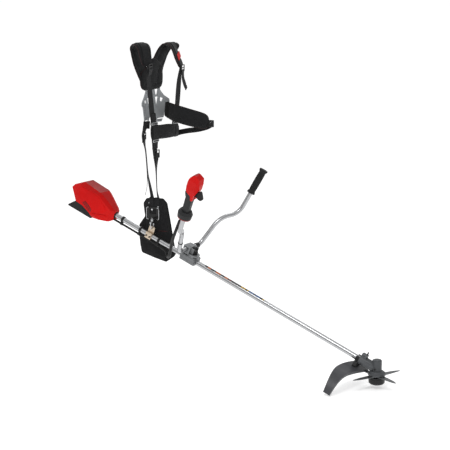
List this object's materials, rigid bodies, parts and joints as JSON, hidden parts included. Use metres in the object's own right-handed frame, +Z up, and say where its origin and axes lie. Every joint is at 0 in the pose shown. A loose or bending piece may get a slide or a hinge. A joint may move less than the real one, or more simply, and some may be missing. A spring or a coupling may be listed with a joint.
{
  "type": "brush cutter",
  "caption": "Electric brush cutter on a long tube with bull-horn handlebar, guarded toothed blade and a twin-shoulder harness with hip protector",
  "frame": {"origin": "front face of the harness back plate, at its middle, where the wearer's back rests", "axes": "+X forwards in the wearer's walking direction, +Y to the wearer's left, +Z up; the blade plane is parallel to XY"},
  "size_m": [1.8088, 0.7188, 1.5058],
  "materials": {
    "red_plastic": "satin moulded",
    "black_plastic": "fine moulded texture",
    "dark_grey_plastic": "fine moulded texture",
    "grey_plastic": "smooth moulded",
    "guard_plastic": "satin moulded",
    "grip_rubber": "soft-touch",
    "anodised_tube": "bright anodised",
    "cast_aluminium": "shot-blasted casting",
    "grey_painted_casting": "satin paint",
    "zinc_steel": "yellow passivated zinc",
    "black_steel": "satin black",
    "steel": "ground",
    "blade_steel": "brushed",
    "copper_brown": "lacquered winding",
    "board_green": "solder mask",
    "cable_black": "matte sleeve",
    "pad_fabric": "woven nylon over foam",
    "webbing": "ribbed woven nylon",
    "protector_fabric": "stitched nylon laminate",
    "dark_bar": "satin silver coat"
  },
  "bodies": {
    "harness": {"back_plate": "grey_plastic", "yoke_pad": "pad_fabric", "shoulder_pad_left": "pad_fabric", "shoulder_pad_right": "pad_fabric", "waist_belt": "pad_fabric", "front_pad": "pad_fabric", "hip_protector": "protector_fabric", "shoulder_webbing": "webbing", "suspension_webbing": "webbing", "strap_hardware": "black_plastic", "belt_buckle": "black_plastic", "hook_frame": "steel"},
    "hook": {"snap_hook": "steel"},
    "hook_gate_body": {"hook_gate": "steel"},
    "machine": {"main_tube": "anodised_tube", "housing_left": "red_plastic", "housing_right": "red_plastic", "battery_bay": "black_plastic", "battery_foot": "black_plastic", "control_board": "board_green", "motor_stator": "copper_brown", "housing_screws": "black_steel", "shaft_bushes": "black_plastic", "ball_bearings": "steel", "handlebar_clamp_base": "cast_aluminium", "clamp_screws": "black_steel", "hanger_bracket": "zinc_steel", "tube_band": "black_plastic", "cable_clips": "black_plastic", "cable_loom": "cable_black", "cable_loop": "cable_black", "guard_bracket": "black_plastic", "blade_guard": "guard_plastic", "gear_housing": "grey_painted_casting", "spindle_skirt": "grey_painted_casting"},
    "drive": {"motor_rotor": "steel", "shaft_coupling": "steel", "drive_shaft": "steel", "pinion_gear": "steel"},
    "blade": {"bevel_gear": "steel", "blade_spindle": "steel", "clamp_washers": "steel", "brush_blade": "blade_steel", "glide_cup": "black_steel", "blade_nut": "steel"},
    "handlebar": {"handlebar_clamp_cap": "cast_aluminium", "handlebar_tube": "dark_bar", "left_grip": "grip_rubber", "grip_shell_inner": "dark_grey_plastic", "grip_shell_outer": "dark_grey_plastic", "handle_cap": "red_plastic", "handle_collar": "dark_grey_plastic", "collar_ring": "red_plastic", "handle_pins": "steel", "trigger_switch": "black_plastic"},
    "trigger": {"throttle_trigger": "black_plastic"},
    "lockoff": {"lockoff_lever": "black_plastic"},
    "knob": {"clamp_knob": "black_plastic"}
  },
  "joints": [
    {"name": "hook_swivel", "type": "hinge", "parent": "harness", "child": "hook", "pos_m": [0.08854, -0.145, -0.58948], "axis": [0, 0, 1], "range_deg": [-5, 5]},
    {"name": "gate_hinge", "type": "hinge", "parent": "hook", "child": "hook_gate_body", "pos_m": [0.08854, -0.157, -0.56068], "axis": [1, 0, 0], "range_deg": [0, 16], "stiffness_Nm_per_rad": 0.02, "springref_deg": -17.19},
    {"name": "machine_tilt", "type": "hinge", "parent": "hook", "child": "machine", "pos_m": [0.08854, -0.145, -0.58948], "axis": [0, 1, 0], "range_deg": [-12, 0]},
    {"name": "bar_turn", "type": "hinge", "parent": "machine", "child": "handlebar", "pos_m": [0.3163, -0.145, -0.72052], "axis": [0.3681, 0, 0.9298], "range_deg": [-45, 10], "deforming": ["cable_loop"]},
    {"name": "knob_turn", "type": "hinge", "parent": "machine", "child": "knob", "pos_m": [0.32955, -0.145, -0.68705], "axis": [0.3681, 0, 0.9298], "range_deg": [0, 180]},
    {"name": "blade_spin", "type": "hinge", "parent": "machine", "child": "blade", "pos_m": [1.3, -0.145, -1.14], "axis": [0, 0, 1], "continuous": true},
    {"name": "drive_spin", "type": "hinge", "parent": "machine", "child": "drive", "pos_m": [1.20702, -0.145, -1.07319], "axis": [0.9298, 0, -0.3681], "continuous": true},
    {"name": "trigger_pull", "type": "hinge", "parent": "handlebar", "child": "trigger", "pos_m": [0.53786, -0.4728, -0.32319], "axis": [0.0857, 0.9725, 0.2166], "range_deg": [0, 8], "stiffness_Nm_per_rad": 0.15, "springref_deg": -5.73},
    {"name": "lockoff_press", "type": "hinge", "parent": "handlebar", "child": "lockoff", "pos_m": [0.50581, -0.46961, -0.32484], "axis": [-0.0857, -0.9725, -0.2166], "range_deg": [0, 6], "stiffness_Nm_per_rad": 0.08, "springref_deg": -5.73}
  ],
  "couplings": [
    {"joint": "drive_spin", "follows": "blade_spin", "ratio": -1.4167}
  ]
}
